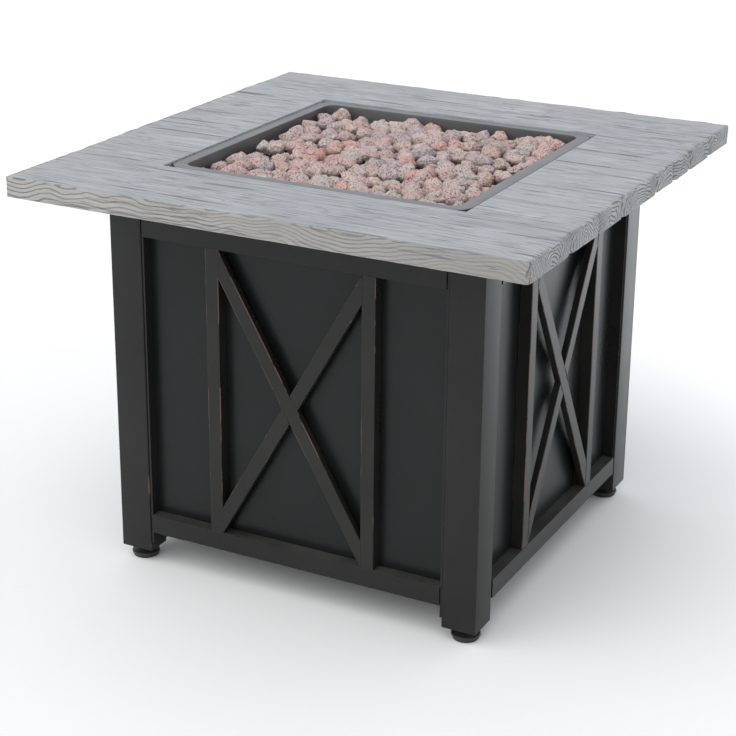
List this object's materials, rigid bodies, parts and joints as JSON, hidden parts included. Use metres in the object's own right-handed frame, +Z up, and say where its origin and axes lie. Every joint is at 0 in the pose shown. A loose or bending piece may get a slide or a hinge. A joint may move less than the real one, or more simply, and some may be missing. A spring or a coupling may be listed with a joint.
{
  "type": "gas fire pit table",
  "caption": "Square outdoor gas fire pit table: weathered wood-look mantel, drop-in bowl with lava rocks on a grate, cross-barred steel base with a tank door and levelling feet.",
  "frame": {"origin": "centre of the base on the floor, under the feet", "axes": "+Z up; the broad front face of the picture looks to -Y and its right face to +X; the tank door is on +Y and the controls on -X"},
  "size_m": [0.762, 0.762, 0.583],
  "materials": {
    "mantel_stone": "matte",
    "black_steel": "satin",
    "cross_bar_steel": "satin",
    "panel_steel": "satin",
    "bowl_steel": "satin",
    "bare_steel": "satin",
    "stainless": "satin",
    "zinc_steel": "satin",
    "grate_iron": "matte",
    "lava_rock": "matte",
    "brass": "satin",
    "electrode_ceramic": "satin",
    "black_plastic": "satin",
    "red_plastic": "gloss",
    "glide_plastic": "satin",
    "battery_sleeve": "gloss",
    "hinge_steel": "satin",
    "magnet_black": "matte"
  },
  "bodies": {
    "root": {"mantel": "mantel_stone", "mantel_brackets": "black_steel", "mantel_screws": "zinc_steel", "fire_bowl": "bowl_steel", "bowl_support": "black_steel", "heat_shield": "bare_steel", "lava_rocks": "lava_rock", "rock_grate": "grate_iron", "burner_ring": "stainless", "burner_mixer": "brass", "gas_pipe": "stainless", "igniter_shield": "bare_steel", "electrode": "electrode_ceramic", "thermocouple": "brass", "control_plate": "black_steel", "gas_valve": "brass", "igniter_body": "black_plastic", "igniter_nut": "black_plastic", "igniter_spring": "stainless", "igniter_battery": "battery_sleeve", "leg_front_left": "black_steel", "leg_front_right": "black_steel", "leg_back_right": "black_steel", "leg_back_left": "black_steel", "leg_foot_plates": "bare_steel", "front_frame": "black_steel", "front_cross_bars": "cross_bar_steel", "front_panel": "panel_steel", "right_frame": "black_steel", "right_cross_bars": "cross_bar_steel", "right_panel": "panel_steel", "left_frame": "black_steel", "left_cross_bars": "cross_bar_steel", "left_panel": "panel_steel", "back_frame": "black_steel", "frame_bolts": "zinc_steel", "door_hinge_fixed": "hinge_steel", "hinge_pins": "zinc_steel", "door_magnet": "magnet_black", "base_shelf": "black_steel", "tank_guide": "black_steel"},
    "foot_front_left": {"glide_front_left": "glide_plastic", "stud_front_left": "zinc_steel"},
    "foot_front_right": {"glide_front_right": "glide_plastic", "stud_front_right": "zinc_steel"},
    "foot_back_right": {"glide_back_right": "glide_plastic", "stud_back_right": "zinc_steel"},
    "foot_back_left": {"glide_back_left": "glide_plastic", "stud_back_left": "zinc_steel"},
    "valve_push": {"valve_sleeve": "stainless"},
    "knob": {"valve_stem": "stainless", "control_knob": "black_plastic"},
    "igniter_push": {"igniter_button": "red_plastic"},
    "door": {"door_panel": "panel_steel", "door_frame": "black_steel", "door_cross_bars": "cross_bar_steel", "door_hinge_moving": "hinge_steel", "door_pull": "hinge_steel", "door_strike": "bare_steel"},
    "tank_clamp": {"tank_screw": "stainless"}
  },
  "joints": [
    {"name": "foot_front_left_screw", "type": "slide", "parent": "root", "child": "foot_front_left", "axis": [0, 0, 1], "range_m": [-0.012, 0]},
    {"name": "foot_front_right_screw", "type": "slide", "parent": "root", "child": "foot_front_right", "axis": [0, 0, 1], "range_m": [-0.012, 0]},
    {"name": "foot_back_right_screw", "type": "slide", "parent": "root", "child": "foot_back_right", "axis": [0, 0, 1], "range_m": [-0.012, 0]},
    {"name": "foot_back_left_screw", "type": "slide", "parent": "root", "child": "foot_back_left", "axis": [0, 0, 1], "range_m": [-0.012, 0]},
    {"name": "valve_push", "type": "slide", "parent": "root", "child": "valve_push", "axis": [1, 0, 0], "range_m": [0, 0.003], "stiffness_N_per_m": 1500, "springref_m": -0.002},
    {"name": "knob_turn", "type": "hinge", "parent": "valve_push", "child": "knob", "pos_m": [-0.2815, 0.038, 0.525], "axis": [-1, 0, 0], "range_deg": [0, 180]},
    {"name": "igniter_push", "type": "slide", "parent": "root", "child": "igniter_push", "axis": [1, 0, 0], "range_m": [0, 0.004], "stiffness_N_per_m": 1200, "springref_m": -0.002, "deforming": ["igniter_spring"]},
    {"name": "door_swing", "type": "hinge", "parent": "root", "child": "door", "pos_m": [0.2295, 0.286, 0.2755], "axis": [0, 0, -1], "range_deg": [0, 120]},
    {"name": "tank_clamp_screw", "type": "slide", "parent": "root", "child": "tank_clamp", "axis": [-1, 0, 0], "range_m": [0, 0.005]}
  ]
}
